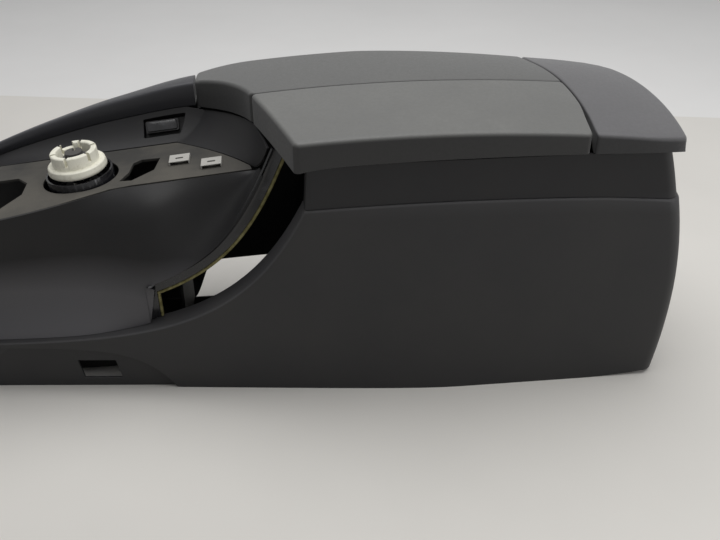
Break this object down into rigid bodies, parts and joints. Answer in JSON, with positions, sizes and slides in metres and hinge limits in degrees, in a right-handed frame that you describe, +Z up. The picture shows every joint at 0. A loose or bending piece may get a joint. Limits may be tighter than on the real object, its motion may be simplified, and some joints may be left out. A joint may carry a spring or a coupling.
{
  "type": "car centre armrest",
  "caption": "Car centre console with a split butterfly armrest over a storage bin, a swept trim slot, a front deck with a rotary controller and a release key.",
  "frame": {"origin": "centre of the four floor bolt holes, on the floor plane", "axes": "+X toward the rear of the console (the rear cap), +Y toward the side with the far rail, +Z up"},
  "size_m": [0.7833, 0.2338, 0.3095],
  "materials": {
    "black_plastic": "grained, matte",
    "armrest_leather": "fine grain, worn satin",
    "dusty_plastic": "matte with dust",
    "gloss_black": "gloss",
    "zinc_steel": "zinc plated",
    "cream_plastic": "satin",
    "olive_rubber": "matte",
    "black_rubber": "matte"
  },
  "bodies": {
    "console": {"near_side_panel": "black_plastic", "far_side_panel": "black_plastic", "rear_cover": "black_plastic", "upper_band": "black_plastic", "foot_strip": "black_plastic", "knee_panel": "black_plastic", "trim_ledge": "gloss_black", "ledge_seal": "olive_rubber", "deck_panel": "dusty_plastic", "deck_clips": "zinc_steel", "inner_wall": "black_plastic", "far_rail": "armrest_leather", "storage_bin": "black_plastic", "bin_mat": "black_rubber", "lid_buffers": "black_rubber", "carrier_frame": "black_plastic", "carrier_ribs": "black_plastic", "floor_brackets": "zinc_steel", "frame_screws": "zinc_steel", "cap_cover": "armrest_leather", "cap_base": "black_plastic", "hinge_brackets": "zinc_steel", "hinge_pins": "zinc_steel", "hinge_springs": "zinc_steel", "catch_studs": "zinc_steel", "key_tray": "black_plastic", "key_springs": "zinc_steel", "controller_cup": "gloss_black"},
    "near_lid": {"near_lid_cover": "armrest_leather", "near_lid_liner": "black_plastic", "near_lid_leaves": "zinc_steel", "near_lid_catch": "zinc_steel"},
    "far_lid": {"far_lid_cover": "armrest_leather", "far_lid_liner": "black_plastic", "far_lid_leaves": "zinc_steel", "far_lid_catch": "zinc_steel"},
    "release_key": {"release_key": "gloss_black"},
    "gimbal_ring": {"gimbal_ring": "gloss_black"},
    "gimbal_cradle": {"gimbal_cradle": "black_plastic", "press_spring": "zinc_steel"},
    "controller_plunger": {"controller_plunger": "gloss_black"},
    "controller_hub": {"controller_hub": "cream_plastic", "controller_core": "gloss_black"}
  },
  "joints": [
    {"name": "near_lid_hinge", "type": "hinge", "parent": "console", "child": "near_lid", "pos_m": [0, -0.1, 0.264], "axis": [1, 0, 0], "range_deg": [0, 78]},
    {"name": "far_lid_hinge", "type": "hinge", "parent": "console", "child": "far_lid", "pos_m": [0, 0.1, 0.264], "axis": [-1, 0, 0], "range_deg": [0, 78]},
    {"name": "release_key_press", "type": "slide", "parent": "console", "child": "release_key", "axis": [0.0625, 0.7771, -0.6263], "range_m": [0, 0.0025], "stiffness_N_per_m": 600, "springref_m": -0.001},
    {"name": "controller_roll", "type": "hinge", "parent": "console", "child": "gimbal_ring", "pos_m": [-0.32181, 0.001, 0.20676], "axis": [0.9951, 0, 0.0993], "range_deg": [-3, 3], "stiffness_Nm_per_rad": 2},
    {"name": "controller_pitch", "type": "hinge", "parent": "gimbal_ring", "child": "gimbal_cradle", "pos_m": [-0.32181, 0.001, 0.20676], "axis": [0, 1, 0], "range_deg": [-3, 3], "stiffness_Nm_per_rad": 2},
    {"name": "controller_press", "type": "slide", "parent": "gimbal_cradle", "child": "controller_plunger", "axis": [0.0993, 0, -0.9951], "range_m": [0, 0.0015], "stiffness_N_per_m": 900, "springref_m": -0.001},
    {"name": "controller_turn", "type": "hinge", "parent": "controller_plunger", "child": "controller_hub", "pos_m": [-0.323, 0.001, 0.2187], "axis": [-0.0993, 0, 0.9951], "continuous": true}
  ]
}
